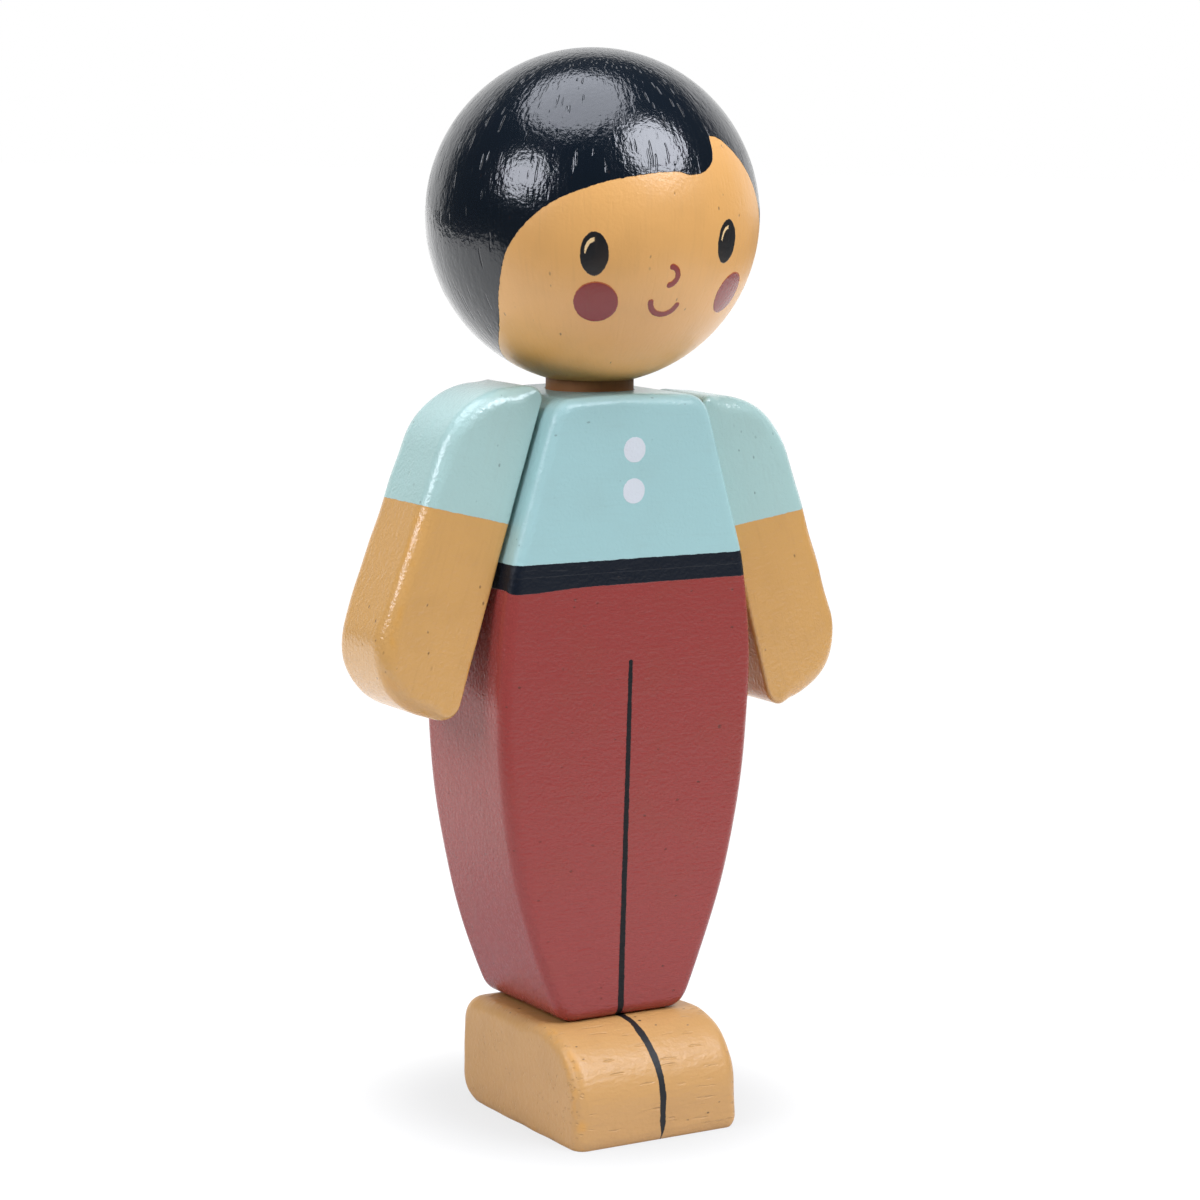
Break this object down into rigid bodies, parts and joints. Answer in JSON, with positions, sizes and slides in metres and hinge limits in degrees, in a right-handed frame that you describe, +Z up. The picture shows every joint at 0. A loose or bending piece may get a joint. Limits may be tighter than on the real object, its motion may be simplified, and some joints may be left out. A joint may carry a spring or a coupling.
{
  "type": "toy figure",
  "caption": "Standing wooden toy figure: painted ball head that turns on a neck dowel, flat arms that swing on shoulder pegs, bowed board body on a block of feet.",
  "frame": {"origin": "on the sole of the feet block, under the middle of the body board", "axes": "+Z up the figure, -Y the way it faces, +X towards its own left arm"},
  "size_m": [0.0578, 0.0358, 0.1156],
  "materials": {
    "head_paint": "semi-gloss navy hair and tan skin paint over fine-pored hardwood, pores showing along the grain",
    "body_paint": "semi-gloss mint shirt, navy belt and brick-red trouser paint over fine-pored hardwood",
    "arm_paint": "semi-gloss mint sleeve and tan skin paint over fine-pored hardwood",
    "feet_paint": "semi-gloss tan paint with a dark brushed line over fine-pored hardwood",
    "bare_wood": "bare sanded hardwood dowel"
  },
  "bodies": {
    "trunk": {"body": "body_paint", "neck_dowel": "bare_wood", "feet": "feet_paint", "foot_dowel_right": "bare_wood", "foot_dowel_left": "bare_wood"},
    "head": {"head": "head_paint"},
    "right_arm": {"arm_right": "arm_paint", "shoulder_peg_right": "bare_wood"},
    "left_arm": {"arm_left": "arm_paint", "shoulder_peg_left": "bare_wood"}
  },
  "joints": [
    {"name": "head_turn", "type": "hinge", "parent": "trunk", "child": "head", "pos_m": [0, 0.0008, 0.09775], "axis": [0, 0, 1], "continuous": true},
    {"name": "right_arm_swing", "type": "hinge", "parent": "trunk", "child": "right_arm", "pos_m": [-0.01148, -0.0006, 0.0719], "axis": [-0.9583, 0, 0.2858], "range_deg": [-120, 125]},
    {"name": "left_arm_swing", "type": "hinge", "parent": "trunk", "child": "left_arm", "pos_m": [0.01148, -0.0006, 0.0719], "axis": [-0.9583, 0, -0.2858], "range_deg": [-120, 125]}
  ]
}
